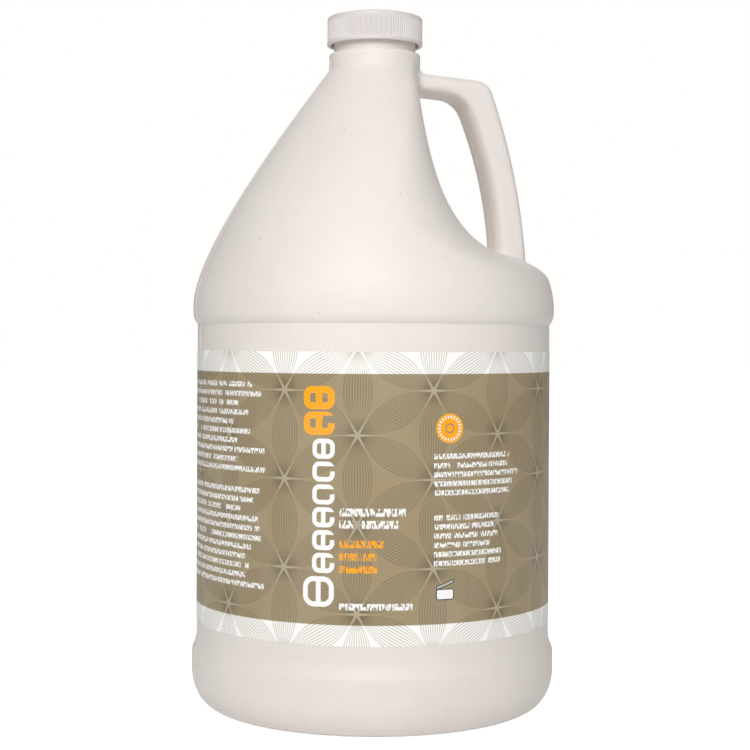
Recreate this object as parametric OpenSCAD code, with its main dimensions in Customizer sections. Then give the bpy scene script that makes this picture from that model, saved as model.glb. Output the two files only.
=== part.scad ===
// Round one-gallon oil bottle: a blow-moulded jug with a hollow carrying handle in its
// shoulder, a ribbed screw cap with a foam liner, and a label wrapped round its panel.
// Origin: centre of the base, on the surface it stands on. +Z up, the handle at +X.

/* [Body] */
// Widest diameter, at the shoulder and at the bottom band
body_d = 155; // [130:1:185]
// How far the label panel lies below the shoulder and the band
panel_sink = 2.1; // [1:0.1:4]
// Height of the bottom band, to the lower edge of its step
band_h = 24; // [20:1:34]
// Height of the label panel, between its two steps
panel_h = 130.5; // [100:0.5:160]
// Height of each step between the panel and the wider parts
step_h = 4.5; // [3:0.5:8]
// Height of the shoulder, from its widest point to the neck collar
shoulder_h = 101.5; // [85:0.5:120]
// Height of the upright part of the band above the upper step
upper_band_h = 6; // [3:0.5:12]
// Reach of the shoulder's curve straight up from its widest point
shoulder_rise = 21.5; // [15:0.5:30]
// Reach of the shoulder's curve outwards from the foot of the collar
shoulder_out = 23.5; // [15:0.5:30]
// Reach of the shoulder's curve downwards from the foot of the collar
shoulder_down = 31; // [20:0.5:40]
// Thickness of the blown wall
wall = 1.2; // [0.8:0.1:2]

/* [Base] */
// Height of the rounding between the base and the side
base_round_h = 15.5; // [10:0.5:20]
// Width of the rounding between the base and the side
base_round_w = 11.3; // [8:0.1:16]
// Width of the ring that the bottle stands on
foot_w = 5; // [3:0.5:8]
// How far the middle of the base is pushed up
push_up = 5; // [3:0.5:9]

/* [Handle recess] */
// Distance from the axis to the recess wall, just below the neck
recess_wall = 19; // [17:0.5:24]
// Distance from the axis to the inner end of the ledge under the handle
recess_ledge = 52; // [46:1:56]
// Height of the ledge above the widest point of the shoulder
ledge_h = 21; // [17:0.5:24]
// Radius of the recess wall seen from above, beyond recess_wall
recess_round = 150; // [100:5:250]

/* [Handle] */
// Width of the handle, across the bottle
handle_w = 20; // [18:0.5:30]
// Thickness of the upright grip
grip_t = 13.2; // [10:0.1:16]
// Thickness of the level arm at the neck
arm_t = 9.6; // [8:0.2:13]
// Distance from the axis to the middle of the grip, where it stands upright
grip_x = 61.2; // [58:0.1:64]
// Fall of the arm away from the neck, in degrees
arm_drop = 4.2; // [0:0.1:8]
// Top line of the arm above the foot of the collar, measured on the axis
arm_rise = 1.2; // [-3:0.1:3]
// Depth below the ledge at which the grip stands upright
grip_foot = 12; // [8:0.5:16]
// Radius of the grip's curve, seen from the side
grip_bend_r = 216; // [180:2:400]
// Radius of the handle's long edges
handle_edge_r = 4.6; // [3:0.2:5]
// Wall of the hollow handle
handle_wall = 1.2; // [0.8:0.1:2]

/* [Neck] */
// How far the collar under the neck stands out from the neck
collar_out = 2.1; // [1:0.1:4]
// Height of the collar
collar_h = 7; // [5:0.5:10]
// Diameter of the neck at the root of its thread
neck_d = 35; // [33:0.1:36]
// Height of the neck above the collar
neck_h = 13.6; // [12:0.1:16]
// Wall of the neck, from the mouth to the root of the thread
neck_wall = 2; // [1.2:0.1:4]

/* [Thread] */
// Rise of the thread in one turn
pitch = 4.2333; // [3.5:0.0001:5]
// Turns of thread on the neck and in the cap
thread_turns = 1.25; // [1:0.05:1.5]
// How far the thread stands out
thread_out = 1.15; // [0.8:0.05:1.3]
// Width of the thread at its root
thread_root_w = 2.3; // [1.8:0.1:2.6]
// Width of the thread at its crest
thread_crest_w = 0.9; // [0.5:0.1:1.2]
// Depth of the thread's upper end below the lip
thread_below_lip = 1.6; // [1:0.1:3]
// Gap between the neck and the cap's thread, and the reverse
thread_gap = 0.3; // [0.25:0.05:0.5]
// How far above mid-gap the cap's thread lies when the cap is tight
thread_slack = 0.4; // [0:0.1:0.6]

/* [Cap] */
// Wall of the cap outside its bore, ribs included
cap_wall = 1.6; // [1.2:0.1:3]
// Height of the cap
cap_h = 12.6; // [11.5:0.1:13.5]
// Thickness of the cap's top
cap_top_t = 1.7; // [1:0.1:2]
// Number of ribs round the cap
rib_count = 120; // [60:1:140]
// Depth of the ribs
rib_depth = 0.4; // [0.2:0.05:0.5]
// Height of the plain rim below the ribs
rim_h = 1.2; // [0.8:0.1:2]
// Rounding of the cap's top edge
cap_edge_r = 1; // [0.5:0.1:1.3]
// Thickness of the foam liner
liner_t = 1; // [0.6:0.1:1.4]
// Gap round the liner inside the cap
liner_gap = 0.2; // [0.1:0.05:0.4]

/* [Label] */
// Height of the label's lower edge above the lower step
label_up = 8.2; // [3:0.1:12]
// Gap between the label's upper edge and the upper step
label_down = 8.3; // [3:0.1:20]
// Gap between the label's two ends, at the back
label_gap = 7; // [3:0.5:20]
// Thickness of the label
label_t = 0.15; // [0.1:0.01:0.3]
// Direction of the gap, in degrees from the handle towards the back
label_gap_at = 74; // [45:1:135]

/* [Hidden] */
$fn = 96;

body_r = body_d / 2;
panel_r = body_r - panel_sink;
panel_z = band_h + step_h;
panel_top_z = panel_z + panel_h;
label_h = panel_h - label_up - label_down;
wide_z = panel_top_z + step_h + upper_band_h;
collar_z = wide_z + shoulder_h;
neck_z = collar_z + collar_h;
neck_r = neck_d / 2;
collar_r = neck_r + collar_out;
lip_z = neck_z + neck_h;
mouth_r = neck_r - neck_wall;

cap_top_z = lip_z + liner_t + cap_top_t;
cap_z = cap_top_z - cap_h;
thread_bore_r = neck_r + thread_out + thread_gap;
cap_r = thread_bore_r + cap_wall;
// The ribs stop just short of the rim, so that no two of their edges meet.
rib_tip_r = cap_r - 0.06;
rib_root_r = cap_r - rib_depth;

// Points of a quarter-round from a towards b, bulging towards the corner c.
function round_to(a, b, c, n = 6) =
    [for (i = [0 : n]) let (t = 90 * i / n) c + (b - c) * (1 - cos(t)) + (a - c) * (1 - sin(t))];

// Point and direction of a smooth curve through two ends and two handles.
function curve(p, t) = pow(1 - t, 3) * p[0] + 3 * t * pow(1 - t, 2) * p[1]
    + 3 * t * t * (1 - t) * p[2] + pow(t, 3) * p[3];
function curve_way(p, t) = pow(1 - t, 2) * (p[1] - p[0]) + 2 * t * (1 - t) * (p[2] - p[1])
    + t * t * (p[3] - p[2]);

// The curve as n pieces, moved sideways by the given amount, to the left of its direction.
function curve_points(p, n, aside = 0) =
    [for (i = [0 : n]) let (w = curve_way(p, i / n))
        curve(p, i / n) + aside * [-w[1], w[0]] / norm(w)];

// Shoulder from the widest point up to the collar, and the same curve inside the wall.
shoulder = [[body_r, wide_z], [body_r, wide_z + shoulder_rise],
    [collar_r + shoulder_out, collar_z - shoulder_down], [collar_r, collar_z]];

// Wall and ledge of the recess under the handle, from the shoulder up to the collar.
// The first curve starts just outside the body, and rounds its rim over onto the ledge; the second
// sweeps from the ledge up the wall, which leans in a little below the collar.
ledge_z = wide_z + ledge_h;
rim_start = [body_r + 6.5, wide_z - 2];
ledge_end = [recess_ledge, ledge_z];
recess_rim = [rim_start, rim_start + [0, 19.5], [body_r - 1.5, ledge_z - 1], ledge_end];
recess_up = [ledge_end, [recess_wall + 11.5, ledge_z + 1],
    [recess_wall - 2, ledge_z + 32], [recess_wall, collar_z]];

// Half-section of the jug, inset by the wall; the base and the neck have their own insets.
module jug_section(inset) {
    r = body_r - inset;
    p = panel_r - inset;
    ring = body_r - base_round_w;
    neck_in = inset > 0 ? mouth_r : neck_r;
    lip = inset > 0 ? lip_z + 1 : lip_z;
    polygon(concat(
        [[0, push_up + inset], [ring - foot_w - push_up, push_up + inset]],
        [[ring - foot_w + inset, inset], [ring, inset]],
        round_to([ring, inset], [r, base_round_h], [r, inset]),
        [[r, band_h], [r - panel_sink * 0.2, band_h + step_h * 0.3]],
        [[p + panel_sink * 0.2, panel_z - step_h * 0.3], [p, panel_z], [p, panel_top_z]],
        [[p + panel_sink * 0.2, panel_top_z + step_h * 0.3]],
        [[r - panel_sink * 0.2, panel_top_z + step_h * 0.7], [r, panel_top_z + step_h]],
        curve_points(shoulder, 12, inset),
        [[collar_r - inset, neck_z - inset - 1], [neck_in, neck_z + 0.6], [neck_in, lip]],
        [[0, lip]]
    ));
}

// Region that the body keeps beside the handle, as a half-section round a far axis.
module recess_section(inset) {
    edge_r = recess_round + body_r + 5;
    clear_r = recess_round + collar_r + 1;
    side = concat(curve_points(recess_rim, 8, inset), curve_points(recess_up, 10, inset));
    polygon(concat(
        [[0, -1], [edge_r, -1], [edge_r, wide_z - 3]],
        [for (q = side) q + [recess_round, 0]],
        [[clear_r - inset, collar_z], [clear_r, lip_z + 2]],
        [[0, lip_z + 2]]
    ));
}

module jug_body(inset) {
    intersection() {
        rotate_extrude() jug_section(inset);
        translate([-recess_round, 0, 0]) rotate_extrude() recess_section(inset);
    }
}

// Rounded bar section, centred, its thickness along X and its width along Y.
module bar_section(t, w, r) {
    square([t - 2 * r, w], center = true);
    square([t, w - 2 * r], center = true);
    for (x = [-1, 1], y = [-1, 1]) translate([x * (t / 2 - r), y * (w / 2 - r)]) circle(r);
}

// Height at which the grip stands upright; above it the grip leans in, round a far axis.
grip_plumb_z = ledge_z - grip_foot;
grip_sweep = 30;
grip_axis_x = grip_x - grip_bend_r;
arm_slope = tan(arm_drop);
arm_top_z = collar_z + arm_rise;

// X at which a sloping line of the arm crosses the grip's circle of radius r.
function arm_meets(z, r) = let (a = 1 + arm_slope * arm_slope, h = z - grip_plumb_z,
    b = grip_axis_x + arm_slope * h, c = grip_axis_x * grip_axis_x + h * h - r * r)
    (b + sqrt(b * b - a * c)) / a;
arm_under_z = arm_top_z - arm_t / cos(arm_drop);
outer_x = arm_meets(arm_top_z, grip_bend_r + grip_t / 2);
inner_x = arm_meets(arm_under_z, grip_bend_r - grip_t / 2);
outer_corner = [outer_x, arm_top_z - arm_slope * outer_x];
inner_corner = [inner_x, arm_under_z - arm_slope * inner_x];
mitre = atan2(outer_corner[1] - inner_corner[1], outer_corner[0] - inner_corner[0]);

// One side of the mitre between the arm and the grip: side 1 is the arm's, -1 the grip's.
module mitre_side(side) {
    block = 300;
    translate([inner_corner[0], 0, inner_corner[1]]) rotate([0, -mitre, 0])
        translate([0, 0, side * block / 2]) cube(block, center = true);
}

module arm(inset) {
    intersection() {
        translate([0, 0, (arm_top_z + arm_under_z) / 2]) rotate([0, 90 + arm_drop, 0])
            linear_extrude(outer_x + arm_t)
                bar_section(arm_t - 2 * inset, handle_w - 2 * inset, handle_edge_r - inset);
        mitre_side(1);
    }
}

module grip(inset) {
    intersection() {
        translate([grip_axis_x, 0, grip_plumb_z]) rotate([90, 0, 0]) rotate_extrude(angle = grip_sweep)
            translate([grip_bend_r, 0])
                bar_section(grip_t - 2 * inset, handle_w - 2 * inset, handle_edge_r - inset);
        mitre_side(-1);
    }
}

// Helical ridge on a wall of radius r: outwards when out is positive, inwards when negative.
module thread(r, out, root_w, crest_w, start_z) {
    steps = round(thread_turns * 40);
    fade = 4;
    sink = 0.4 * sign(out);
    points = [for (i = [0 : steps])
        let (a = 360 * thread_turns * i / steps, rise = min(1, i / fade - 0.1, (steps - i) / fade - 0.1))
        for (q = [[-sink, -root_w], [out * rise, -crest_w], [out * rise, crest_w], [-sink, root_w]])
            [(r + q[0]) * cos(a), (r + q[0]) * sin(a),
                start_z + pitch * a / 360 + sign(out) * q[1] / 2]];
    sides = [for (i = [0 : steps - 1], j = [0 : 3]) let (k = (j + 1) % 4)
        [4 * i + j, 4 * i + k, 4 * i + 4 + k, 4 * i + 4 + j]];
    polyhedron(points, concat([[3, 2, 1, 0]], sides, [[for (j = [0 : 3]) 4 * steps + j]]), 4);
}

// The neck's thread ends a little below the lip; the cap's lies midway between its turns.
neck_thread_z = lip_z - thread_below_lip - pitch * thread_turns;
cap_thread_z = neck_thread_z - pitch / 2 + thread_slack;

module jug() {
    color("ivory") union() {
        difference() {
            union() {
                jug_body(0);
                arm(0);
                grip(0);
            }
            jug_body(wall);
            arm(handle_wall);
            grip(handle_wall);
        }
        thread(neck_r, thread_out, thread_root_w, thread_crest_w, neck_thread_z);
    }
}

// A wrap that stops short of a full turn, so that its ends leave a narrow gap.
module label() {
    gap_angle = 360 * label_gap / (2 * PI * panel_r);
    color("tan") translate([0, 0, panel_z + label_up])
        rotate([0, 0, label_gap_at + gap_angle / 2])
            rotate_extrude(angle = 360 - gap_angle)
                translate([panel_r, 0]) square([label_t, label_h]);
}

module cap_liner() {
    color("whitesmoke") translate([0, 0, lip_z])
        cylinder(h = liner_t, r = thread_bore_r - liner_gap);
}

// Ribbed sleeve of the cap, solid to the axis, with square-ended ribs. Each rib takes a turn of
// one step: its crest, a flank, the groove and the next flank.
module ribs() {
    step = 360 / rib_count;
    linear_extrude(cap_h - cap_edge_r - rim_h)
        polygon([for (i = [0 : rib_count - 1],
            q = [[0, rib_tip_r], [0.3, rib_tip_r], [0.5, rib_root_r], [0.8, rib_root_r]])
            q[1] * [cos(step * (i + q[0])), sin(step * (i + q[0]))]]);
}

module cap_shell() {
    core_r = rib_root_r - 0.1;
    edge_z = cap_h - cap_edge_r;
    chamfer = 0.3;
    difference() {
        union() {
            rotate_extrude() polygon(concat(
                [[0, 0], [cap_r - chamfer, 0], [cap_r, chamfer], [cap_r, rim_h]],
                [[core_r, rim_h + chamfer]],
                round_to([core_r, edge_z], [core_r - cap_edge_r, cap_h], [core_r, cap_h]),
                [[0, cap_h]]));
            translate([0, 0, rim_h]) ribs();
        }
        translate([0, 0, -1]) cylinder(h = cap_h - cap_top_t + 1, r = thread_bore_r);
    }
}

module cap() {
    color("white") union() {
        translate([0, 0, cap_z]) cap_shell();
        thread(thread_bore_r, -thread_out, thread_root_w * 0.9, thread_crest_w * 0.8, cap_thread_z);
    }
}

jug();
cap_liner();
cap();
label();
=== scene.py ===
from math import cos, pi, radians, sin, tan

import bpy
import numpy as np
from mathutils import Matrix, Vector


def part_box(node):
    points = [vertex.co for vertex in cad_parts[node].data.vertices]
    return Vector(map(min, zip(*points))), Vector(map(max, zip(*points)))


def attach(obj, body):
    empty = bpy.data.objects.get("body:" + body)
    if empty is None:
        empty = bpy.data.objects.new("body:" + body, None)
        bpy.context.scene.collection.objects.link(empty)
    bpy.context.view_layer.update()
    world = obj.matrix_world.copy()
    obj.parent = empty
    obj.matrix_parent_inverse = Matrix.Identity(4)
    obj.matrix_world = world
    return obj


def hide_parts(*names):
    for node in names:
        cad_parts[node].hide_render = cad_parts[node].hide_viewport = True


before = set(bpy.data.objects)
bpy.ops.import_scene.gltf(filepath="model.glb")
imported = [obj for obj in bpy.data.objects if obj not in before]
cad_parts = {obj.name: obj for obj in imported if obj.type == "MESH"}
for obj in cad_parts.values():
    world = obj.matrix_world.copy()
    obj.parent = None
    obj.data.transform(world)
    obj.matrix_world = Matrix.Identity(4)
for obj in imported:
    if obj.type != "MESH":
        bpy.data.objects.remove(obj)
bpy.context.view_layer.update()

# ---------------------------------------------------------------- Jug
# One hollow blow moulding in natural white HDPE: round body, cone shoulder with the grip
# pinched out of one side, threaded neck. It stands on its foot ring and carries every other piece.
# Lengths are in millimetres until a mesh is made, and the axis is x = y = 0.

jug_high = np.array(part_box("jug")[1]) * 1000
label_low, label_high = (np.array(corner) * 1000 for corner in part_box("label"))
label_z = label_low[2]
label_top_z = label_high[2]
# The parting line stands out from the body, which is widest there.
parting_h = 0.2
body_r = jug_high[0] - parting_h
lip_z = jug_high[2]
wall = 1.2
label_t = 0.15
panel_r = label_high[0] - label_t
foot_rise = 5.0
lower_band_z = 24.0
panel_low_z = 28.5
panel_high_z = 161.8
upper_band_z = 163.7
wide_z = 169.5
collar_r = 19.6
collar_z = 271.0
collar_top_z = 278.1
neck_r = 17.5
mouth_r = 15.5


def curve(ends, count):
    """Points along a cubic Bezier with the four control points in ends."""
    t = np.linspace(0, 1, count)[:, None]
    a, b, c, d = (np.array(point, float) for point in ends)
    return (1 - t) ** 3 * a + 3 * t * (1 - t) ** 2 * b + 3 * t * t * (1 - t) * c + t**3 * d


def softened(values, width, step):
    """A table smoothed over a distance, so that its corners become soft bends."""
    reach = np.arange(-int(4 * width / step), int(4 * width / step) + 1) * step
    share = np.exp(-0.5 * (reach / width) ** 2)
    share /= share.sum()
    return np.convolve(np.pad(values, len(reach) // 2, mode="edge"), share, mode="valid")


# The shoulder's outline, and the hollow that makes room for the hand. The hollow is a vertical
# trough whose plan is part of a large circle centred far out on the handle's side.
table_step = 0.1
table_z = np.arange(150, 290, table_step)
shoulder_rise = 21.5
shoulder_out = 23.5
shoulder_down = 31
shoulder_ends = [
    [body_r, wide_z],
    [body_r, wide_z + shoulder_rise],
    [collar_r + shoulder_out, collar_z - shoulder_down],
    [collar_r, collar_z],
]
shoulder = curve(shoulder_ends, 400)
shoulder_r = softened(np.interp(table_z, shoulder[:, 1], shoulder[:, 0]), 0.8, table_step)
shoulder_lean = np.gradient(shoulder_r, table_z)
trough_plan_r = 150.0
# Its rim rolls in from outside the body onto a ledge, and its wall sweeps up from there to the collar.
ledge_end = [52, 190.5]
trough_rim = curve([[84, 167.5], [84, 187], [76, 189.5], ledge_end], 200)
trough_wall = curve([ledge_end, [30.5, 191.5], [15.4, 222], [15.3, collar_z]], 300)
trough = np.vstack([[[95, 160]], trough_rim, trough_wall[1:], [[22.6, 272.5], [40, 290]]])
trough_x = softened(np.interp(table_z, trough[:, 1], trough[:, 0]), 1.0, table_step)


def spaced(path, spacing):
    """The same path with points at an even spacing."""
    length = np.append(0, np.cumsum(np.hypot(*np.diff(path, axis=0).T)))
    places = np.linspace(0, length[-1], int(length[-1] / spacing) + 2)
    return np.stack([np.interp(places, length, path[:, k]) for k in range(2)], 1)


# How far each place in the trough's own section is from its surface, on a grid of field_step.
field_step = 0.5
field_out = np.arange(-20, 100, field_step)
field_z = np.arange(160, 285, field_step)
trough_line = spaced(np.stack([trough_x, table_z], 1), 0.4)
trough_field = np.stack([
    np.hypot(field_out[:, None] - trough_line[:, 0], z - trough_line[:, 1]).min(1) for z in field_z
], 1)
trough_field *= np.sign(field_out[:, None] - np.interp(field_z, table_z, trough_x))


def from_trough(out, z):
    """Distance from the trough's surface, below zero where the plastic may be."""
    a = np.clip((out - field_out[0]) / field_step, 0, len(field_out) - 1.001)
    b = np.clip((z - field_z[0]) / field_step, 0, len(field_z) - 1.001)
    i, j = a.astype(int), b.astype(int)
    a, b = a - i, b - j
    low_z = trough_field[i, j] * (1 - a) + trough_field[i + 1, j] * a
    high_z = trough_field[i, j + 1] * (1 - a) + trough_field[i + 1, j + 1] * a
    return low_z * (1 - b) + high_z * b


# How round the shoulder's edge is where the trough cuts it, by height.
edge_heights = [165, 178, 188, 200, 216, 232, 250, 262, 276]
edge_radii = [4, 5, 11, 20, 20, 15, 9, 5, 3]
edge_round = softened(np.interp(table_z, edge_heights, edge_radii), 4.0, table_step)

grip_x = 61.2
grip_plumb_z = 178.5
grip_bend_r = 216.0
grip_half_t = 6.6
grip_end_half_t = 8
grip_middle_z = 220
grip_flare = 0.0004
grip_half_w = 10.0
grip_edge_t = 3.6
grip_edge_w = 7.5
arm_top_z = 272.2
arm_drop = radians(4.2)
arm_t = 9.6
arm_outer_r = 5.0
arm_inner_r = 5.5
handle_fillet = 4.5
# The handle's ends are buried in the shoulder and in the collar.
handle_foot_z = 172
handle_root_x = 8


def common(a, b, radius):
    """Where both of two solids are, with the edge between them rounded."""
    flat = np.minimum(np.maximum(a, b), -radius)
    return flat + np.hypot(np.maximum(a + radius, 0), np.maximum(b + radius, 0))


def body_depth(x, y, z):
    """Below zero inside the shoulder."""
    lean = np.interp(z, table_z, shoulder_lean)
    side = (np.hypot(x, y) - np.interp(z, table_z, shoulder_r)) / np.hypot(1, lean)
    hollow = from_trough(np.hypot(x + trough_plan_r, y) - trough_plan_r, z)
    return common(side, hollow, np.interp(z, table_z, edge_round))


def handle_depth(x, y, z):
    """Below zero inside the handle: a bowed upright grip and the short arm that joins it to the collar."""
    bow = np.hypot(x - grip_x + grip_bend_r, z - grip_plumb_z) - grip_bend_r
    half_t = np.minimum(grip_half_t + grip_flare * (z - grip_middle_z) ** 2, grip_end_half_t)
    below_top = (z + x * tan(arm_drop) - arm_top_z) * cos(arm_drop)
    outside = common(bow - half_t, below_top, arm_outer_r)
    finger_gap = common(bow + half_t, below_top + arm_t, arm_inner_r)
    # The long edges are rounded as quarter ellipses, wider across the grip than through it.
    through = np.maximum(outside, -finger_gap) / grip_edge_t
    bar = common(through, (np.abs(y) - grip_half_w) / grip_edge_w, 1) * grip_edge_t
    return np.maximum(np.maximum(bar, handle_foot_z - z), handle_root_x - x)


def shoulder_depth(points):
    """Below zero inside the shoulder and handle together, filleted into each other."""
    x, y, z = points[..., 0], points[..., 1], points[..., 2]
    return -common(-body_depth(x, y, z), -handle_depth(x, y, z), handle_fillet)


def skin_of(depth, low, high, step):
    """Quads over a depth function's zero level, with one point in each grid cell that it crosses."""
    axes = [np.arange(a, b + step / 2, step) for a, b in zip(low, high)]
    grid = np.stack(np.meshgrid(*axes, indexing="ij"), -1)
    value = depth(grid)
    size = np.array(value.shape)
    total = np.zeros((*(size - 1), 3))
    count = np.zeros(tuple(size - 1))
    crossings = []
    for axis in range(3):
        first = [slice(None)] * 3
        second = [slice(None)] * 3
        first[axis] = slice(0, -1)
        second[axis] = slice(1, None)
        a, b = value[tuple(first)], value[tuple(second)]
        crossed = (a < 0) != (b < 0)
        spots = grid[tuple(first)].copy()
        spots[..., axis] += step * np.where(crossed, a / np.where(crossed, a - b, 1), 0)
        others = [k for k in range(3) if k != axis]
        for shift in ((0, 0), (0, 1), (1, 0), (1, 1)):
            part = [slice(None)] * 3
            for k, s in zip(others, shift):
                part[k] = slice(s, size[k] - 1 + s)
            total += spots[tuple(part)] * crossed[tuple(part)][..., None]
            count += crossed[tuple(part)]
        crossings.append((axis, others, crossed, a < 0))
    index = -np.ones(tuple(size - 1), int)
    index[count > 0] = np.arange((count > 0).sum())
    points = total[count > 0] / count[count > 0][:, None]
    quads = []
    for axis, others, crossed, inward in crossings:
        spot = np.argwhere(crossed)
        for k in others:
            spot = spot[(spot[:, k] > 0) & (spot[:, k] < size[k] - 1)]
        flip = inward[tuple(spot.T)] ^ (axis == 1)
        one, two = np.eye(3, dtype=int)[others]
        corners = [spot - one - two, spot - two, spot, spot - one]
        quad = np.stack([index[tuple(corner.T)] for corner in corners], 1)
        quads.append(np.where(flip[:, None], quad, quad[:, ::-1]))
    return points, np.vstack(quads)


def slope_of(depth, points):
    """The depth function's gradient at each point."""
    reach = 0.05
    rises = [depth(points + reach * way) - depth(points - reach * way) for way in np.eye(3)]
    return np.stack([rise / (2 * reach) for rise in rises], 1)


def settled(depth, points, free, rounds):
    """Points moved onto the surface, except those that aren't free."""
    for _ in range(rounds):
        slope = slope_of(depth, points)
        step = depth(points) / np.maximum((slope * slope).sum(1), 0.05) * free
        points = points - step[:, None] * slope
    return points


def open_edge(quads):
    """Points on the open edges of a skin of quads."""
    edges = np.vstack([quads[:, [k, (k + 1) % 4]] for k in range(4)])
    pairs, uses = np.unique(np.sort(edges, 1), axis=0, return_counts=True)
    return np.unique(pairs[uses == 1])


def evened(depth, points, quads, free, rounds):
    """Points spread evenly over the surface, for a skin without pinched quads."""
    for _ in range(rounds):
        total = np.zeros_like(points)
        count = np.zeros(len(points))
        for k in range(4):
            a, b = quads[:, k], quads[:, (k + 1) % 4]
            for one, other in ((a, b), (b, a)):
                np.add.at(total, one, points[other])
                np.add.at(count, one, 1)
        middle = total / count[:, None]
        points = np.where(free[:, None] > 0, (points + middle) / 2, points)
        points = settled(depth, points, free, 1)
    return settled(depth, points, free, 2)


class Shell:
    """The points and faces of a closed surface, put together ring by ring."""

    def __init__(self):
        self.points = np.zeros((0, 3))
        self.faces = []

    def add(self, points):
        start = len(self.points)
        self.points = np.vstack([self.points, points])
        return np.arange(start, start + len(points))

    def ring(self, radius, height, count):
        angle = 2 * pi * np.arange(count) / count
        radius = np.broadcast_to(radius, count)
        level = np.full(count, height)
        return self.add(np.stack([radius * np.cos(angle), radius * np.sin(angle), level], 1))

    def bridge(self, a, b):
        """Quads between two rings of the same count."""
        self.faces += np.stack([a, np.roll(a, -1), np.roll(b, -1), b], 1).tolist()

    def join(self, a, b):
        """Triangles between two rings of different counts, matched by angle."""
        a, b = self.by_angle(a), self.by_angle(b)
        way = [np.arctan2(self.points[ring, 1], self.points[ring, 0]) for ring in (a, b)]
        way = [np.append(turn, turn[0] + 2 * pi) for turn in way]
        i = j = 0
        while i < len(a) or j < len(b):
            if j == len(b) or (i < len(a) and way[0][i + 1] <= way[1][j + 1]):
                self.faces.append([a[i], a[(i + 1) % len(a)], b[j % len(b)]])
                i += 1
            else:
                self.faces.append([a[i % len(a)], b[(j + 1) % len(b)], b[j]])
                j += 1

    def by_angle(self, ring):
        return ring[np.argsort(np.arctan2(self.points[ring, 1], self.points[ring, 0]))]

    def start_pole(self, height, ring):
        pole = self.add(np.array([[0, 0, height]]))[0]
        self.faces += [[pole, b, a] for a, b in zip(ring, np.roll(ring, -1))]

    def end_pole(self, ring, height):
        pole = self.add(np.array([[0, 0, height]]))[0]
        self.faces += [[a, b, pole] for a, b in zip(ring, np.roll(ring, -1))]

    def tube(self, rings, closed):
        """Quads along a row of rings, with its ends capped or joined."""
        for a, b in zip(rings, rings[1:]):
            self.bridge(a, b)
        if closed:
            self.bridge(rings[-1], rings[0])
        else:
            self.faces += [list(rings[0][::-1]), list(rings[-1])]

    def piece(self, name, sharp=radians(40)):
        """The shell as a Blender object, in metres and smooth shaded."""
        mesh = bpy.data.meshes.new(name)
        mesh.from_pydata((self.points / 1000).tolist(), [], self.faces)
        mesh.update()
        mesh.shade_smooth()
        mesh.set_sharp_from_angle(angle=sharp)
        piece = bpy.data.objects.new(name, mesh)
        bpy.context.collection.objects.link(piece)
        return piece


def outline(corners, spacing):
    """An (r, z) outline through corners given as (r, z, length before, length after), each rounded."""
    rows = []
    for k, corner in enumerate(corners):
        here = np.array(corner[:2], float)
        if len(corner) == 2:
            rows.append(here[None])
            continue
        back = np.array(corners[k - 1][:2]) - here
        ahead = np.array(corners[k + 1][:2]) - here
        start = here + back / np.hypot(*back) * corner[2]
        end = here + ahead / np.hypot(*ahead) * corner[3]
        # 0.5523 makes a cubic curve follow a quarter of an ellipse.
        ends = [start, start + (here - start) * 0.5523, end + (here - end) * 0.5523, end]
        rows.append(curve(ends, 5 + int(2 * (corner[2] + corner[3]) ** 0.5)))
    rows = np.vstack(rows)
    filled = [rows[:1]]
    for a, b in zip(rows, rows[1:]):
        steps = max(1, round(np.hypot(*(b - a)) / spacing))
        filled.append(a + (b - a) * (np.arange(steps)[:, None] + 1) / steps)
    return np.vstack(filled)


def inner_side(rows, thickness):
    """The outline moved inwards by the wall's thickness."""
    along = np.gradient(rows, axis=0)
    along /= np.hypot(along[:, 0], along[:, 1])[:, None]
    return rows + thickness * np.stack([-along[:, 1], along[:, 0]], 1)


# The shoulder and handle, from seam_low_z up to seam_high_z.
seam_low_z = 167.2
seam_high_z = 276.0
grid_step = 1.6
points, quads = skin_of(shoulder_depth, (-80, -80, seam_low_z), (80, 80, seam_high_z), grid_step)
edge = open_edge(quads)
is_low = points[edge, 2] < (seam_low_z + seam_high_z) / 2
low_edge, high_edge = edge[is_low], edge[~is_low]
free = np.ones(len(points))
free[edge] = 0
points = settled(shoulder_depth, points, free, 3)
for ring, radius, height in ((low_edge, body_r, seam_low_z), (high_edge, collar_r, seam_high_z)):
    points[ring, :2] *= (radius / np.hypot(points[ring, 0], points[ring, 1]))[:, None]
    points[ring, 2] = height
points = evened(shoulder_depth, points, quads, free, 4)
slope = slope_of(shoulder_depth, points)
slope[edge, 2] = 0
inner_points = points - wall * slope / np.linalg.norm(slope, axis=1)[:, None]

base_rows = outline(
    [
        (0, foot_rise),
        (57.5, foot_rise, 2.5, 2),
        (60.5, 0, 1.2, 1.2),
        (body_r, 0, 11.3, 15.5),
        (body_r, lower_band_z, 0.7, 0.7),
        (panel_r, panel_low_z, 3.0, 2.4),
        (panel_r, panel_high_z, 0.4, 0.2),
        (body_r, upper_band_z, 2.3, 3.2),
        (body_r, seam_low_z),
    ],
    4,
)[1:]
neck_rows = outline(
    [
        (collar_r, seam_high_z),
        (collar_r, collar_top_z, 0.9, 0.9),
        (neck_r, collar_top_z, 0.5, 0.5),
        (neck_r, lip_z, 0.5, 0.4),
        (mouth_r, lip_z, 0.4, 0.5),
        (mouth_r, collar_top_z + 1.5, 2, 2),
        (collar_r - wall, seam_high_z),
    ],
    1.5,
)
base_columns = 256
neck_columns = 128
jug = Shell()
outer = [jug.ring(r, z, base_columns) for r, z in base_rows]
jug.start_pole(foot_rise, outer[0])
for a, b in zip(outer, outer[1:]):
    jug.bridge(a, b)
outside = jug.add(points)
jug.faces += outside[quads].tolist()
jug.join(outer[-1], outside[low_edge])
neck = [jug.ring(r, z, neck_columns) for r, z in neck_rows]
jug.join(outside[high_edge], neck[0])
for a, b in zip(neck, neck[1:]):
    jug.bridge(a, b)
inside = jug.add(inner_points)
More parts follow.
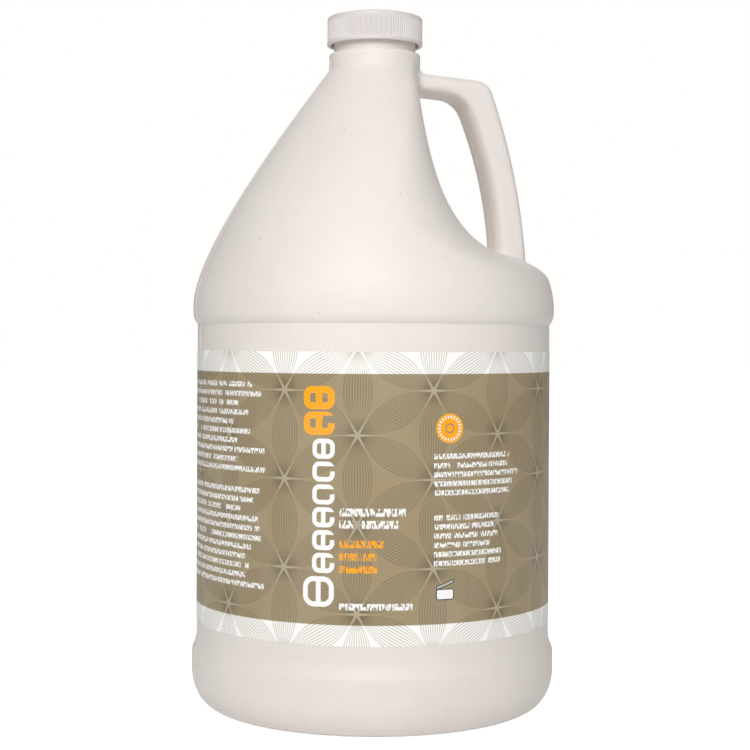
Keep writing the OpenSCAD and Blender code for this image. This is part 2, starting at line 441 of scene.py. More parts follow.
jug.faces += inside[quads[:, ::-1]].tolist()
jug.join(neck[-1], inside[high_edge])
inner = [jug.ring(r, z, base_columns) for r, z in inner_side(base_rows, wall)[::-1]]
jug.join(inside[low_edge], inner[0])
for a, b in zip(inner, inner[1:]):
    jug.bridge(a, b)
jug.end_pole(inner[-1], foot_rise + wall)


# A 38 mm closure's thread: six turns to the inch, and a turn and a quarter of it.
thread_pitch = 4.2333
thread_turns = 1.25
thread_out = 1.15
thread_root_w = 2.3
thread_crest_w = 0.9
thread_below_lip = 1.6


def rounded_thread(shell, radius, out, start_z):
    """A helical ridge that fades in and out, sunk into the wall that it stands on."""
    steps = round(thread_turns * 90)
    sink = -0.4 * np.sign(out)
    shoulder_w, top_w = thread_crest_w * 1.25, thread_crest_w * 0.8
    section = np.array([(sink, -thread_root_w), (out * 0.7, -shoulder_w), (out, -top_w)])
    section = np.vstack([section, section[::-1] * (1, -1)])
    if out < 0:
        section = section[::-1]
    rings = []
    for step in range(steps + 1):
        angle = 2 * pi * thread_turns * step / steps
        rise = min(1, step / 9 + 0.05, (steps - step) / 9 + 0.05)
        r = radius + np.where(section[:, 0] * out > 0, section[:, 0] * rise, section[:, 0])
        z = start_z + thread_pitch * thread_turns * step / steps + section[:, 1] / 2
        rings.append(shell.add(np.stack([r * cos(angle), r * sin(angle), z], 1)))
    shell.tube(rings, closed=False)


neck_thread_z = lip_z - thread_below_lip - thread_pitch * thread_turns
rounded_thread(jug, neck_r, thread_out, neck_thread_z)


def parting_bead(shell, path, outward, width, height, closed):
    """The fine raised line that the mould's halves leave, along (x, z) points in the plane y = 0."""
    rings = []
    for (x, z), (nx, nz) in zip(path, outward):
        # The label is stuck down over the line, which it presses almost flat.
        up = min(height, 0.1) if label_z - 1 < z < label_top_z + 1 else height
        side = [(-0.3, width / 2), (up * 0.6, width * 0.3), (up, width * 0.1)]
        section = side + [(rise, -across) for rise, across in side[::-1]]
        spots = [(x + rise * nx, across, z + rise * nz) for rise, across in section]
        rings.append(shell.add(np.array(spots)))
    shell.tube(rings, closed)


def path_normals(path, closed):
    """Unit normals on the left of a path."""
    if closed:
        along = np.roll(path, -1, 0) - np.roll(path, 1, 0)
    else:
        along = np.gradient(path, axis=0)
    along /= np.hypot(along[:, 0], along[:, 1])[:, None]
    return np.stack([-along[:, 1], along[:, 0]], 1)


def rays(centre, angles, outermost):
    """Where rays in the plane y = 0 leave or enter the shoulder and handle."""
    reach = np.arange(0.5, 130, 0.25)
    way = np.stack([np.cos(angles), np.sin(angles)], 1)
    x = centre[0] + reach * way[:, :1]
    z = centre[1] + reach * way[:, 1:]
    inside_now = shoulder_depth(np.stack([x, np.zeros_like(x), z], -1)) < 0
    if outermost:
        last = inside_now.shape[1] - 1 - np.argmax(inside_now[:, ::-1], 1)
    else:
        last = np.argmax(inside_now, 1) - 1
    near, far = reach[last], reach[last + 1]
    for _ in range(20):
        middle = (near + far) / 2
        spots = np.stack([centre[0] + middle * way[:, 0], 0 * middle, centre[1] + middle * way[:, 1]], -1)
        still = (shoulder_depth(spots) < 0) == outermost
        near, far = np.where(still, middle, near), np.where(still, far, middle)
    return np.array(centre) + near[:, None] * way


# One line runs up the side away from the handle, one up the handle's side and over the grip, one
# round the finger gap, and the pinched-off seam crosses the base.
side_rows = base_rows[(base_rows[:, 1] > 4) & (base_rows[:, 0] > 70)]
away_z = np.linspace(seam_low_z, collar_z + 4, 90)
away_side = np.stack([-np.interp(away_z, table_z, shoulder_r), away_z], 1)
away_path = np.vstack([side_rows[:-1] * (-1, 1), away_side])
parting_bead(jug, away_path, path_normals(away_path, False), 0.9, parting_h, closed=False)
eye = (20.0, 200.0)
first_angle = np.arctan2(seam_low_z - eye[1], body_r - eye[0])
last_angle = np.arctan2(collar_z + 2 - eye[1], collar_r + 3 - eye[0])
handle_side = rays(eye, np.linspace(first_angle, last_angle, 260)[1:], True)
handle_path = np.vstack([side_rows[:-1], handle_side])
parting_bead(jug, handle_path, -path_normals(handle_path, False), 0.8, 0.12, closed=False)
gap_path = rays((47.0, 222.0), 2 * pi * np.arange(240) / 240, False)
parting_bead(jug, gap_path, path_normals(gap_path, True), 0.8, 0.1, closed=True)
pinch_path = np.stack([np.linspace(-54, 54, 60), np.full(60, foot_rise)], 1)
parting_bead(jug, pinch_path, np.tile([0.0, -1.0], (60, 1)), 1.6, 0.5, closed=False)


def feed(tree, socket, value):
    """Sets a socket to a number or colour, or links it to another node's output."""
    if isinstance(value, bpy.types.NodeSocket):
        tree.links.new(value, socket)
    else:
        socket.default_value = value


def maths(tree, operation, *values):
    """One Math node's output."""
    node = tree.nodes.new("ShaderNodeMath")
    node.operation = operation
    for socket, value in zip(node.inputs, values):
        feed(tree, socket, value)
    return node.outputs[0]


def ramp(tree, value, low, high):
    """0 below low, 1 above high and a soft step between. Low above high turns it round."""
    node = tree.nodes.new("ShaderNodeMapRange")
    node.interpolation_type = "SMOOTHSTEP"
    feed(tree, node.inputs["Value"], value)
    feed(tree, node.inputs["From Min"], low)
    feed(tree, node.inputs["From Max"], high)
    return node.outputs["Result"]


def noise(tree, place, scale, detail=2.0, roughness=0.5):
    """Soft random clouds, mostly between 0.3 and 0.7."""
    node = tree.nodes.new("ShaderNodeTexNoise")
    feed(tree, node.inputs["Vector"], place)
    node.inputs["Scale"].default_value = scale
    node.inputs["Detail"].default_value = detail
    node.inputs["Roughness"].default_value = roughness
    return node.outputs["Fac"]


def stretched(tree, place, scale):
    """The place multiplied along each axis, which squeezes a pattern laid over it."""
    node = tree.nodes.new("ShaderNodeMapping")
    feed(tree, node.inputs["Vector"], place)
    node.inputs["Scale"].default_value = scale
    return node.outputs["Vector"]


def tinted(tree, amount, a, b):
    """Colour a where the amount is 0, colour b where it is 1."""
    node = tree.nodes.new("ShaderNodeMix")
    node.data_type = "RGBA"
    feed(tree, node.inputs["Factor"], amount)
    feed(tree, node.inputs[6], a)
    feed(tree, node.inputs[7], b)
    return node.outputs[2]


def bumped(tree, height, strength, distance, under=None):
    """A normal roughened by a height, on top of the one under it."""
    node = tree.nodes.new("ShaderNodeBump")
    node.inputs["Strength"].default_value = strength
    node.inputs["Distance"].default_value = distance
    feed(tree, node.inputs["Height"], height)
    if under is not None:
        feed(tree, node.inputs["Normal"], under)
    return node.outputs["Normal"]


def moulded_plastic(name, colour, shade, roughness, grain, glow, scuff_r):
    """Moulded plastic: clouded colour, fine grain, slow ripples, dust specks, scuffs beyond scuff_r."""
    material = bpy.data.materials.new(name)
    material.use_nodes = True
    tree = material.node_tree
    shader = tree.nodes["Principled BSDF"]
    place = tree.nodes.new("ShaderNodeTexCoord").outputs["Object"]
    split = tree.nodes.new("ShaderNodeSeparateXYZ")
    feed(tree, split.inputs[0], place)
    across = maths(tree, "MULTIPLY", split.outputs["X"], split.outputs["X"])
    out = maths(tree, "SQRT", maths(tree, "MULTIPLY_ADD", split.outputs["Y"], split.outputs["Y"], across))
    clouds = noise(tree, place, 22, 4, 0.6)
    specks = ramp(tree, noise(tree, place, 420, 0), 0.86, 0.88)
    streaks = noise(tree, stretched(tree, place, (1, 1, 7)), 110, 3, 0.6)
    streaked = ramp(tree, streaks, 0.52, 0.68)
    widest = ramp(tree, out, scuff_r - 0.0006, scuff_r)
    scuffed = maths(tree, "MULTIPLY", streaked, widest)
    base = tinted(tree, ramp(tree, clouds, 0.35, 0.7), colour, shade)
    base = tinted(tree, maths(tree, "MULTIPLY", scuffed, 0.07), base, (0.55, 0.53, 0.5, 1))
    base = tinted(tree, maths(tree, "MULTIPLY", specks, 0.35), base, (0.33, 0.3, 0.27, 1))
    feed(tree, shader.inputs["Base Color"], base)
    rough = maths(tree, "MULTIPLY_ADD", clouds, 0.08, roughness - 0.04)
    feed(tree, shader.inputs["Roughness"], maths(tree, "MULTIPLY_ADD", scuffed, 0.14, rough))
    ripple = bumped(tree, noise(tree, place, 34, 1), 0.22, 0.0007)
    feed(tree, shader.inputs["Normal"], bumped(tree, noise(tree, place, 1500, 2), grain, 0.00012, ripple))
    shader.inputs["IOR"].default_value = 1.5
    shader.inputs["Subsurface Weight"].default_value = glow
    shader.inputs["Subsurface Radius"].default_value = (1.0, 0.85, 0.7)
    shader.inputs["Subsurface Scale"].default_value = 0.0025
    return material


milky_hdpe = moulded_plastic(
    "milky HDPE",
    colour=(0.80, 0.745, 0.705, 1),
    shade=(0.77, 0.715, 0.675, 1),
    roughness=0.54,
    grain=0.4,
    glow=0.12,
    scuff_r=body_r / 1000 - 0.0001,
)
jug_piece = jug.piece("jug_moulding")
jug_piece.data.materials.append(milky_hdpe)
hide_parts("jug")
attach(jug_piece, "jug")

# ---------------------------------------------------------------- Cap liner
# A loose disc of white foamed polyethylene inside the cap. The cap presses it down on the
# jug's lip, which leaves a shallow ring in its underside.

liner_low, liner_high = (np.array(corner) * 1000 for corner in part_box("cap_liner"))
liner_r = liner_high[0]
lip_dent = 0.1
liner = Shell()
liner_rows = outline(
    [
        (0, liner_low[2]),
        (mouth_r, liner_low[2], 0.3, 0.1),
        (mouth_r + 0.2, liner_low[2] + lip_dent, 0.1, 0.1),
        (neck_r - 0.2, liner_low[2] + lip_dent, 0.1, 0.1),
        (neck_r, liner_low[2], 0.1, 0.1),
        (liner_r, liner_low[2], 0.2, 0.2),
        (liner_r, liner_high[2], 0.2, 0.2),
        (0, liner_high[2]),
    ],
    2,
)[1:-1]
liner_rings = [liner.ring(r, z, 96) for r, z in liner_rows]
liner.start_pole(liner_low[2], liner_rings[0])
for a, b in zip(liner_rings, liner_rings[1:]):
    liner.bridge(a, b)
liner.end_pole(liner_rings[-1], liner_high[2])


def foamed_plastic(name, colour):
    """Fine closed-cell foam: small round cells with darker gaps."""
    material = bpy.data.materials.new(name)
    material.use_nodes = True
    tree = material.node_tree
    shader = tree.nodes["Principled BSDF"]
    place = tree.nodes.new("ShaderNodeTexCoord").outputs["Object"]
    cells = tree.nodes.new("ShaderNodeTexVoronoi")
    feed(tree, cells.inputs["Vector"], place)
    cells.inputs["Scale"].default_value = 1400
    gap = ramp(tree, cells.outputs["Distance"], 0.35, 0.75)
    feed(tree, shader.inputs["Base Color"], tinted(tree, gap, colour, (0.72, 0.71, 0.68, 1)))
    feed(tree, shader.inputs["Roughness"], maths(tree, "MULTIPLY_ADD", noise(tree, place, 90), 0.15, 0.6))
    feed(tree, shader.inputs["Normal"], bumped(tree, gap, -0.5, 0.0001))
    shader.inputs["Subsurface Weight"].default_value = 0.1
    shader.inputs["Subsurface Scale"].default_value = 0.001
    return material


liner_piece = liner.piece("foam_liner")
liner_piece.data.materials.append(foamed_plastic("white foam", (0.87, 0.87, 0.85, 1)))
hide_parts("cap_liner")
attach(liner_piece, "liner")

# ---------------------------------------------------------------- Cap
# A plain white screw cap moulded in polypropylene: fine grip ribs all round, a smooth rim below
# them, and one thread inside that runs on the neck's thread. It lifts as it unscrews.

cap_low, cap_high = (np.array(corner) * 1000 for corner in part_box("cap"))
cap_z = cap_low[2]
cap_top_z = cap_high[2]
cap_r = cap_high[0]
thread_gap = 0.3
cap_bore_r = neck_r + thread_out + thread_gap
cap_ceiling_z = liner_high[2]
rim_h = 1.2
rim_top_z = cap_z + rim_h
rib_top_z = cap_top_z - 2.0
rib_depth = 0.34
# The top has a shallow dished middle and the small dimple of the mould's gate.
dish_r = 16.5
dish_depth = 0.2
gate_r = 2.2
gate_z = cap_top_z - 0.5
rib_count = 120
# Each rib takes six columns: two on its crest, two in the groove and one on each flank.
rib_shape = np.tile([1.0, 1.0, 0.5, 0.0, 0.0, 0.5], rib_count)
cap_columns = len(rib_shape)
cap_rows = outline(
    [
        (0, cap_ceiling_z),
        (cap_bore_r, cap_ceiling_z, 0.5, 0.5),
        (cap_bore_r, cap_z, 0.3, 0.3),
        (cap_r, cap_z, 0.5, 0.5),
        (cap_r, rim_top_z, 0.15, 0.15),
        (cap_r - 0.1, rim_top_z + 0.25, 0.1, 0.1),
        (cap_r - 0.1, cap_top_z, 1.5, 2.2),
        (dish_r, cap_top_z, 0.4, 0.4),
        (dish_r - 0.4, cap_top_z - dish_depth, 0.2, 0.2),
        (gate_r, cap_top_z - dish_depth, 0.2, 0.2),
        (gate_r - 0.8, gate_z, 0.3, 0.3),
        (0, gate_z),
    ],
    1.2,
)[1:-1]
cap = Shell()
cap_rings = []
for r, z in cap_rows:
    # The ribs run out over a short height at both ends.
    in_ribs = r > cap_r - 0.6 and z > rim_top_z
    fade = np.clip(min((z - rim_top_z) / 0.4, (rib_top_z + 0.5 - z) / 0.5), 0, 1) if in_ribs else 0
    cap_rings.append(cap.ring(r - rib_depth * fade * (1 - rib_shape), z, cap_columns))
cap.start_pole(cap_ceiling_z, cap_rings[0])
for a, b in zip(cap_rings, cap_rings[1:]):
    cap.bridge(a, b)
cap.end_pole(cap_rings[-1], gate_z)
# Screwed tight, the cap's thread bears up against the underside of the neck's.
thread_slack = 0.4
cap_thread_z = neck_thread_z - thread_pitch / 2 + thread_slack
rounded_thread(cap, cap_bore_r, -thread_out, cap_thread_z)

cap_piece = cap.piece("screw_cap")
white_pp = moulded_plastic(
    "white polypropylene",
    colour=(0.70, 0.66, 0.64, 1),
    shade=(0.67, 0.63, 0.61, 1),
    roughness=0.40,
    grain=0.12,
    glow=0.08,
    scuff_r=cap_r / 1000 + 0.001,
)
cap_piece.data.materials.append(white_pp)
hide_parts("cap")
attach(cap_piece, "cap")

# ---------------------------------------------------------------- Label
# One wrap of printed film glued round the panel between the two bands, its ends a few
# millimetres apart at the back. It is tan between two white stripes, with bursts of fine lines.

label_r = label_high[0]
label_gap = 7.0
front_angle = radians(-106)
half_wrap = pi - label_gap / label_r / 2
label_columns = 360
label_rows = 30
turn = np.linspace(-half_wrap, half_wrap, label_columns + 1)
rise = np.linspace(label_z, label_top_z, label_rows + 1)
end_lift = 0.04
most_lift = 0.02
label = Shell()
label_grids = []
# The film's inner side lies a hair off the panel too, so that the two never share a surface.
for radius in (label_r, label_r - label_t + 0.03):
    turns, rises = np.meshgrid(turn, rise)
    ends = np.clip((np.abs(turns) - half_wrap) * label_r / 2 + 1, 0, 1)
    # The very ends of the wrap stand a hair off the panel.
    spread = np.minimum(radius + end_lift * ends, label_r + most_lift)
    way = turns + front_angle
    spots = np.stack([spread * np.cos(way), spread * np.sin(way), rises], -1)
    label_grids.append(label.add(spots.reshape(-1, 3)).reshape(turns.shape))
front, back = label_grids
front_quads = np.stack([front[:-1, :-1], front[:-1, 1:], front[1:, 1:], front[1:, :-1]], -1)
back_quads = np.stack([back[:-1, :-1], back[1:, :-1], back[1:, 1:], back[:-1, 1:]], -1)
label.faces += front_quads.reshape(-1, 4).tolist()
label.faces += back_quads.reshape(-1, 4).tolist()
rim_front = np.concatenate([front[0], front[1:, -1], front[-1, -2::-1], front[-2:0:-1, 0]])
rim_back = np.concatenate([back[0], back[1:, -1], back[-1, -2::-1], back[-2:0:-1, 0]])
label.bridge(rim_back, rim_front)
label_piece = label.piece("wrap_label")
# The print is laid out in millimetres: across from the front's middle, and up from the floor.
layout = label_piece.data.uv_layers.new(name="print")
spots = np.array([vertex.co for vertex in label_piece.data.vertices])
around = (np.arctan2(spots[:, 1], spots[:, 0]) - front_angle + pi) % (2 * pi) - pi
corners = np.array([loop.vertex_index for loop in label_piece.data.loops])
across_up = np.stack([around[corners] * label_r, spots[corners, 2] * 1000], 1)
layout.data.foreach_set("uv", across_up.ravel())


class Print:
    """Ink masks for the label, each 1 inside its shape and 0 outside."""

    def __init__(self, tree):
        self.tree = tree
        place = tree.nodes.new("ShaderNodeUVMap")
        place.uv_map = "print"
        split = tree.nodes.new("ShaderNodeSeparateXYZ")
        feed(tree, split.inputs[0], place.outputs[0])
        self.across, self.up = split.outputs["X"], split.outputs["Y"]

    def do(self, operation, *values):
        return maths(self.tree, operation, *values)

    def point(self, a, b, c=0.0):
        node = self.tree.nodes.new("ShaderNodeCombineXYZ")
        for socket, value in zip(node.inputs, (a, b, c)):
            feed(self.tree, socket, value)
        return node.outputs[0]

    def from_middle(self, value, middle):
        return self.do("ABSOLUTE", self.do("SUBTRACT", value, middle))

    def within(self, value, low, high, soft=0.12):
        """1 between two lines, with an edge as soft as ink on film."""
        away = self.from_middle(value, (low + high) / 2)
        half = (high - low) / 2
        return ramp(self.tree, away, half + soft, half - soft)

    def both(self, *masks):
        result = masks[0]
        for mask in masks[1:]:
            result = self.do("MULTIPLY", result, mask)
        return result

    def either(self, *masks):
        result = masks[0]
        for mask in masks[1:]:
            result = self.do("MAXIMUM", result, mask)
        return result

    def without(self, mask, hole):
        return self.do("MULTIPLY", mask, self.do("SUBTRACT", 1.0, hole))

    def random(self, value):
        node = self.tree.nodes.new("ShaderNodeTexWhiteNoise")
        node.noise_dimensions = "1D"
        feed(self.tree, node.inputs["W"], value)
        return node.outputs["Value"]

    def box_away(self, x, y, half_x, half_y, radius):
        """Distance from a rounded box round x = y = 0."""
        out_x = self.do("MAXIMUM", self.do("SUBTRACT", self.do("ABSOLUTE", x), half_x - radius), 0.0)
        out_y = self.do("MAXIMUM", self.do("SUBTRACT", self.do("ABSOLUTE", y), half_y - radius), 0.0)
        length = self.do("SQRT", self.do("MULTIPLY_ADD", out_y, out_y, self.do("MULTIPLY", out_x, out_x)))
        return self.do("SUBTRACT", length, radius)

    def bursts(self, spacing, start_across, start_up, line_count):
        """Fine lines that fan out of each point of a triangular lattice and meet the next point's."""
        x = self.do("DIVIDE", self.do("SUBTRACT", self.across, start_across), spacing)
        y = self.do("DIVIDE", self.do("SUBTRACT", self.up, start_up), spacing)
        # Petals start 30 degrees either side of the line between two points.
        widest = tan(radians(30)) / pi
        lines, petals, spokes = [], [], []
        for lean in (90, 30, -30):
            c, s = cos(radians(lean)), sin(radians(lean))
            along = self.do("MULTIPLY_ADD", y, s, self.do("MULTIPLY", x, c))
            beside = self.do("MULTIPLY_ADD", y, c, self.do("MULTIPLY", x, -s))
            row = self.do("ROUND", self.do("DIVIDE", beside, sin(radians(60))))
            off = self.do("MULTIPLY_ADD", row, -sin(radians(60)), beside)
            step = self.do("FRACT", self.do("MULTIPLY_ADD", row, -0.5, along))
            middle = self.do("SUBTRACT", step, 0.5)
            opening = self.do("MAXIMUM", self.do("COSINE", self.do("MULTIPLY", middle, pi)), 0.001)
            bend = self.do("DIVIDE", off, opening)
            petal = ramp(self.tree, self.do("ABSOLUTE", bend), widest + 0.002, widest - 0.002)
            wave = self.do("COSINE", self.do("MULTIPLY", bend, 2 * pi * line_count / (2 * widest)))
            lines.append(self.both(petal, ramp(self.tree, wave, -0.35, 0.75)))
            petals.append(petal)
            # A bright spoke stands square to each row at its points, and tapers to nothing.
            short = self.do("SUBTRACT", 0.5, self.do("ABSOLUTE", middle))
            taper = self.do("MULTIPLY_ADD", self.do("ABSOLUTE", off), 0.08, short)
            spokes.append(ramp(self.tree, taper, 0.026, 0.010))
        away = self.do("SQRT", self.do("MULTIPLY_ADD", off, off, self.do("MULTIPLY", short, short)))
        petal = self.either(*petals)
        cores = self.both(petal, ramp(self.tree, away, 0.24, 0.0))
        return self.either(*lines), cores, self.either(*spokes)

    def small_print(self, left, right, top, rows, pitch, height, seed, word=0.55):
        """Rows of short marks in place of small print, set flush left."""
        down = self.do("DIVIDE", self.do("SUBTRACT", top, self.up), pitch)
        row = self.do("FLOOR", down)
        in_row = self.within(self.do("FRACT", down), 0.0, height / pitch, 0.07)
        chance = self.random(self.do("ADD", row, seed))
        end = self.do("MULTIPLY_ADD", chance, -0.3 * (right - left), right)
        in_width = self.both(
            self.do("LESS_THAN", self.across, end), self.do("GREATER_THAN", self.across, float(left))
        )
        in_block = self.within(down, 0.0, rows - 0.05, 0.02)
        along = self.do("MULTIPLY", self.across, word / height)
        place = self.point(along, self.do("MULTIPLY", row, 7.3), seed)
        words = ramp(self.tree, noise(self.tree, place, 1.0, 0), 0.29, 0.33)
        along = self.do("MULTIPLY", self.across, 4.0 / height)
        place = self.point(along, self.do("MULTIPLY", self.up, 1.3 / height), seed)
        strokes = ramp(self.tree, noise(self.tree, place, 1.0, 0), 0.36, 0.55)
        return self.both(in_row, in_width, in_block, words, strokes)

    def big_marks(self, middle, half_x, low, count, pitch, half_y, stroke, seed):
        """A column of bold open marks in place of a title: rounded frames, some split and some barred."""
        step = self.do("DIVIDE", self.do("SUBTRACT", self.up, low), pitch)
        cell = self.do("FLOOR", step)
        x = self.do("SUBTRACT", self.across, middle)
        y = self.do("MULTIPLY", self.do("SUBTRACT", self.do("FRACT", step), 0.5), pitch)
        away = self.box_away(x, y, half_x, half_y, min(half_x, half_y) * 0.75)
        frame_mask = self.within(away, -stroke, 0.0)
        inside_mask = ramp(self.tree, away, -stroke * 0.5, -stroke * 0.7)
        chance = self.random(self.do("ADD", cell, seed))
        upright = self.within(x, -stroke / 2, stroke / 2)
        bar = self.both(upright, inside_mask, self.do("GREATER_THAN", chance, 0.45))
        side = self.do("SIGN", self.do("SUBTRACT", self.do("FRACT", self.do("MULTIPLY", chance, 7.0)), 0.5))
        split = self.both(
            self.within(self.do("MULTIPLY", x, side), half_x * 0.25, half_x * 1.2),
            self.within(y, 0.1, stroke + 0.3),
            self.do("LESS_THAN", chance, 0.7),
        )
        marks = self.either(self.without(frame_mask, split), bar)
        return self.both(marks, self.within(step, 0.0, float(count), 0.01))


white_ink = (0.97, 0.96, 0.95, 1)
cream_ink = (0.95, 0.94, 0.92, 1)
tan_ink = (0.345, 0.272, 0.155, 1)
dark_tan = (0.215, 0.165, 0.10, 1)
pale_line = (0.60, 0.57, 0.47, 1)
orange_ink = (1.0, 0.39, 0.0, 1)
black_ink = (0.02, 0.02, 0.02, 1)


def print_ground(tree, ink):
    """Tan between two white stripes, with the bursts of lines over all of it."""
    lines, cores, spokes = ink.bursts(spacing=34.6, start_across=-6.0, start_up=118.4, line_count=11.5)
    low_stripe_h = 8.2
    high_stripe_h = 8.5
    field = ink.within(ink.up, label_z + low_stripe_h, label_top_z - high_stripe_h, 0.2)
    ground = tinted(tree, ink.do("MULTIPLY", lines, 0.8), tan_ink, dark_tan)
    ground = tinted(tree, ink.do("MULTIPLY", cores, 0.8), ground, (0.13, 0.10, 0.055, 1))
    ground = tinted(tree, ink.do("MULTIPLY", spokes, 0.8), ground, (0.50, 0.43, 0.30, 1))
    stripe = tinted(tree, ink.do("MULTIPLY", lines, 0.9), white_ink, pale_line)
    stripe = tinted(tree, ink.do("MULTIPLY", cores, 0.6), stripe, (0.35, 0.32, 0.26, 1))
    stripe = tinted(tree, spokes, stripe, white_ink)
    return tinted(tree, field, stripe, ground)


def print_cream(tree, ink, colour):
    """Marks in place of the title, the small print at both sides and the lines beside the title."""
    title = ink.either(
        ink.big_marks(-21.3, 6.3, 51.2, 1, 13.0, 5.9, 2.0, 3.0),
        ink.big_marks(-19.4, 4.5, 64.4, 6, 8.85, 3.9, 1.8, 8.0),
    )
    left_copy = ink.either(
        ink.small_print(-108, -45, 138.6, 10, 3.75, 2.1, 11.0),
        ink.small_print(-108, -43, 96.5, 11, 3.75, 2.1, 23.0),
    )
    right_copy = ink.either(
        ink.small_print(24.2, 68.0, 111.2, 5, 3.55, 2.1, 31.0),
        ink.small_print(24.2, 58.0, 87.3, 6, 3.55, 2.1, 47.0),
    )
    subtitle = ink.small_print(-13.0, 16.5, 90.2, 2, 4.7, 3.1, 53.0, 0.4)
    contents_line = ink.small_print(-13.0, 18.5, 53.4, 1, 4.0, 2.6, 61.0, 0.8)
    marks = ink.either(title, left_copy, right_copy, subtitle, contents_line)
    return tinted(tree, marks, colour, cream_ink)


def print_orange(tree, ink, colour):
    """The title's last two marks, a few short lines and a round badge with a toothed ring."""
    title_end = ink.big_marks(-21.3, 6.3, 118.0, 2, 9.9, 4.5, 2.7, 5.0)
    short_lines = ink.small_print(-13.0, 5.0, 77.8, 3, 4.9, 2.9, 71.0, 0.4)
    badge_x = ink.do("SUBTRACT", ink.across, 30.8)
    badge_y = ink.do("SUBTRACT", ink.up, 121.0)
    badge_y_squared = ink.do("MULTIPLY", badge_y, badge_y)
    badge_r = ink.do("SQRT", ink.do("MULTIPLY_ADD", badge_x, badge_x, badge_y_squared))
    badge = ramp(tree, badge_r, 6.0, 5.7)
    teeth = 22.0
    turn_wave = ink.do("COSINE", ink.do("MULTIPLY", ink.do("ARCTAN2", badge_y, badge_x), teeth))
    ring = ink.both(ink.within(badge_r, 3.9, 5.1), ramp(tree, turn_wave, -0.2, 0.4))
    centre_ring = ink.within(badge_r, 1.4, 2.0)
    marks = ink.without(ink.either(title_end, short_lines, badge), ink.both(badge, ring))
    colour = tinted(tree, marks, colour, orange_ink)
    colour = tinted(tree, ring, colour, cream_ink)
    return tinted(tree, centre_ring, colour, tan_ink)


def print_open_jar(tree, ink, colour):
    """The small sign of a jar with its lid tilted open, cream with a black outline."""
    jar_x = ink.do("SUBTRACT", ink.across, 29.0)
    jar = ink.box_away(jar_x, ink.do("SUBTRACT", ink.up, 56.4), 3.6, 2.0, 0.8)
    lid_lean = ink.do("MULTIPLY_ADD", jar_x, -0.35, ink.do("SUBTRACT", ink.up, 60.2))
    lid = ink.box_away(jar_x, lid_lean, 3.6, 0.6, 0.2)
    sign = ink.do("MINIMUM", jar, lid)
    colour = tinted(tree, ramp(tree, sign, 0.3, 0.1), colour, black_ink)
    return tinted(tree, ramp(tree, sign, -0.1, -0.3), colour, cream_ink)


def printed_film(name):
    """Gloss-coated film with its print, faded and rubbed a little."""
    material = bpy.data.materials.new(name)
    material.use_nodes = True
    tree = material.node_tree
    shader = tree.nodes["Principled BSDF"]
    ink = Print(tree)
    colour = print_ground(tree, ink)
    colour = print_cream(tree, ink, colour)
    colour = print_orange(tree, ink, colour)
    colour = print_open_jar(tree, ink, colour)
    place = tree.nodes.new("ShaderNodeTexCoord").outputs["Object"]
    fade = noise(tree, place, 30, 3, 0.6)
    faded = ink.do("MULTIPLY", ramp(tree, fade, 0.4, 0.75), 0.06)
    colour = tinted(tree, faded, colour, (0.75, 0.74, 0.7, 1))
    feed(tree, shader.inputs["Base Color"], colour)
    rubbed = noise(tree, stretched(tree, place, (1, 1, 9)), 120, 3, 0.6)
    feed(tree, shader.inputs["Roughness"], maths(tree, "MULTIPLY_ADD", rubbed, 0.14, 0.38))
    ripple = bumped(tree, noise(tree, place, 30, 1), 0.12, 0.0005)
    feed(tree, shader.inputs["Normal"], bumped(tree, noise(tree, place, 900, 1), 0.06, 0.0001, ripple))
    shader.inputs["IOR"].default_value = 1.45
    return material


label_piece.data.materials.append(printed_film("printed film"))
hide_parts("label")
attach(label_piece, "jug")

# ---------------------------------------------------------------- Studio
# A pale matt floor, a broad soft light high in front, a weaker one behind and an even white room.

floor_mesh = bpy.data.meshes.new("floor")
floor_half = 8.0
floor_corners = [(x * floor_half, y * floor_half, 0) for x, y in ((-1, -1), (1, -1), (1, 1), (-1, 1))]
floor_mesh.from_pydata(floor_corners, [], [(0, 1, 2, 3)])
floor = bpy.data.objects.new("floor", floor_mesh)
bpy.context.collection.objects.link(floor)
matt = bpy.data.materials.new("pale matt floor")
matt.use_nodes = True
matt_tree = matt.node_tree
matt_shader = matt_tree.nodes["Principled BSDF"]
matt_place = matt_tree.nodes.new("ShaderNodeTexCoord").outputs["Object"]
matt_tone = noise(matt_tree, matt_place, 6, 2)
matt_colour = tinted(matt_tree, matt_tone, (0.84, 0.84, 0.84, 1), (0.86, 0.86, 0.86, 1))
feed(matt_tree, matt_shader.inputs["Base Color"], matt_colour)
matt_shader.inputs["Roughness"].default_value = 0.9
matt_shader.inputs["Specular IOR Level"].default_value = 0.0
matt_shader.inputs["Emission Color"].default_value = (1, 1, 1, 1)
# The floor glows mostly for the eye, and only faintly onto the bottle's foot.
floor_seen = matt_tree.nodes.new("ShaderNodeLightPath").outputs["Is Camera Ray"]
floor_glow = maths(matt_tree, "MULTIPLY_ADD", floor_seen, 0.72, 0.12)
feed(matt_tree, matt_shader.inputs["Emission Strength"], floor_glow)
floor_mesh.materials.append(matt)

camera_azimuth = radians(-16)
camera_away = 0.719
camera_height = 0.1559


aim_height = 0.15


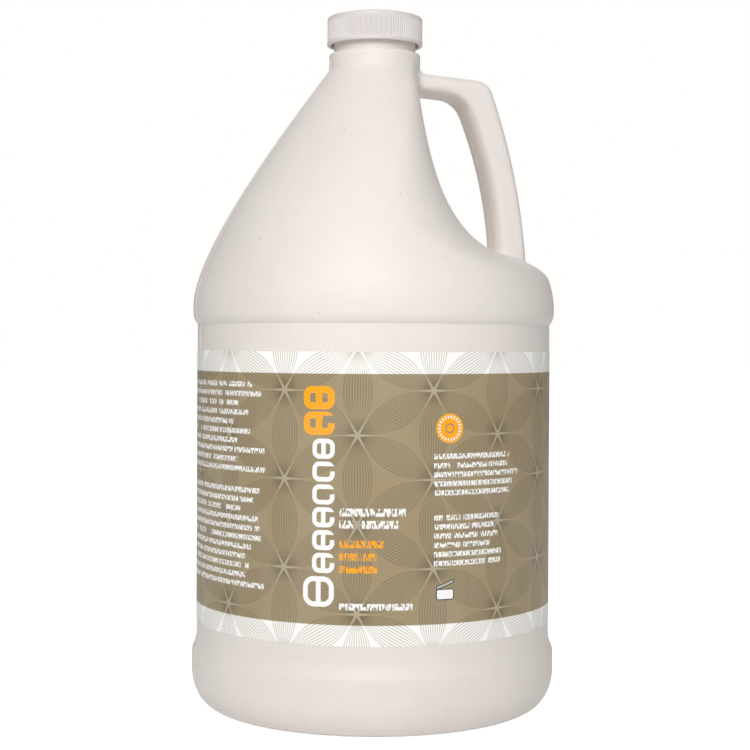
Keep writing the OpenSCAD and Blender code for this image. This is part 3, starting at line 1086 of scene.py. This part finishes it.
def soft_light(name, azimuth, away, height, size, power):
    """A square area light round the object at an azimuth from the camera's, pointed at the axis."""
    lamp = bpy.data.lights.new(name, "AREA")
    lamp.size = size
    lamp.energy = power
    turned = camera_azimuth + radians(azimuth)
    spot = np.array([sin(turned) * away, -cos(turned) * away, height])
    back_way = spot - (0, 0, aim_height)
    back_way /= np.linalg.norm(back_way)
    right_way = np.array([cos(turned), sin(turned), 0])
    up_way = np.cross(back_way, right_way)
    light = bpy.data.objects.new(name, lamp)
    placed = np.stack([right_way, up_way, back_way, spot], 1)
    light.matrix_world = Matrix(np.vstack([placed, [0, 0, 0, 1]]).tolist())
    bpy.context.collection.objects.link(light)


soft_light("front light", azimuth=-5, away=1.4, height=1.15, size=0.8, power=21.2)
soft_light("back light", azimuth=180, away=1.6, height=1.2, size=1.0, power=12)

room = bpy.data.worlds.new("white room")
bpy.context.scene.world = room
room.use_nodes = True
room_light = room.node_tree.nodes["Background"]
room_light.inputs["Color"].default_value = (1.0, 0.99, 0.98, 1)
# The room lights the bottle with an even dim white, and the eye sees it pure white.
room_seen = room.node_tree.nodes.new("ShaderNodeLightPath").outputs["Is Camera Ray"]
room_strength = maths(room.node_tree, "MULTIPLY_ADD", room_seen, 0.735, 0.275)
feed(room.node_tree, room_light.inputs["Strength"], room_strength)
bpy.context.scene.view_settings.view_transform = "Standard"

# ---------------------------------------------------------------- Camera
# Level with the middle of the jug, turned so that the handle stands to the right and a little away.

lens = bpy.data.cameras.new("camera")
lens.lens = 80
lens.sensor_width = 36
lens.shift_x = 0.0020
lens.shift_y = -0.0487
lens.dof.use_dof = False
lens.clip_end = 50
camera = bpy.data.objects.new("camera", lens)
camera_lean = 0.0045
upright = Matrix.Rotation(pi / 2, 4, "X")
facing = Matrix.Rotation(camera_azimuth, 4, "Z") @ upright @ Matrix.Rotation(camera_lean, 4, "Z")
spot = (sin(camera_azimuth) * camera_away, -cos(camera_azimuth) * camera_away, camera_height)
camera.matrix_world = Matrix.Translation(spot) @ facing
bpy.context.collection.objects.link(camera)
bpy.context.scene.camera = camera
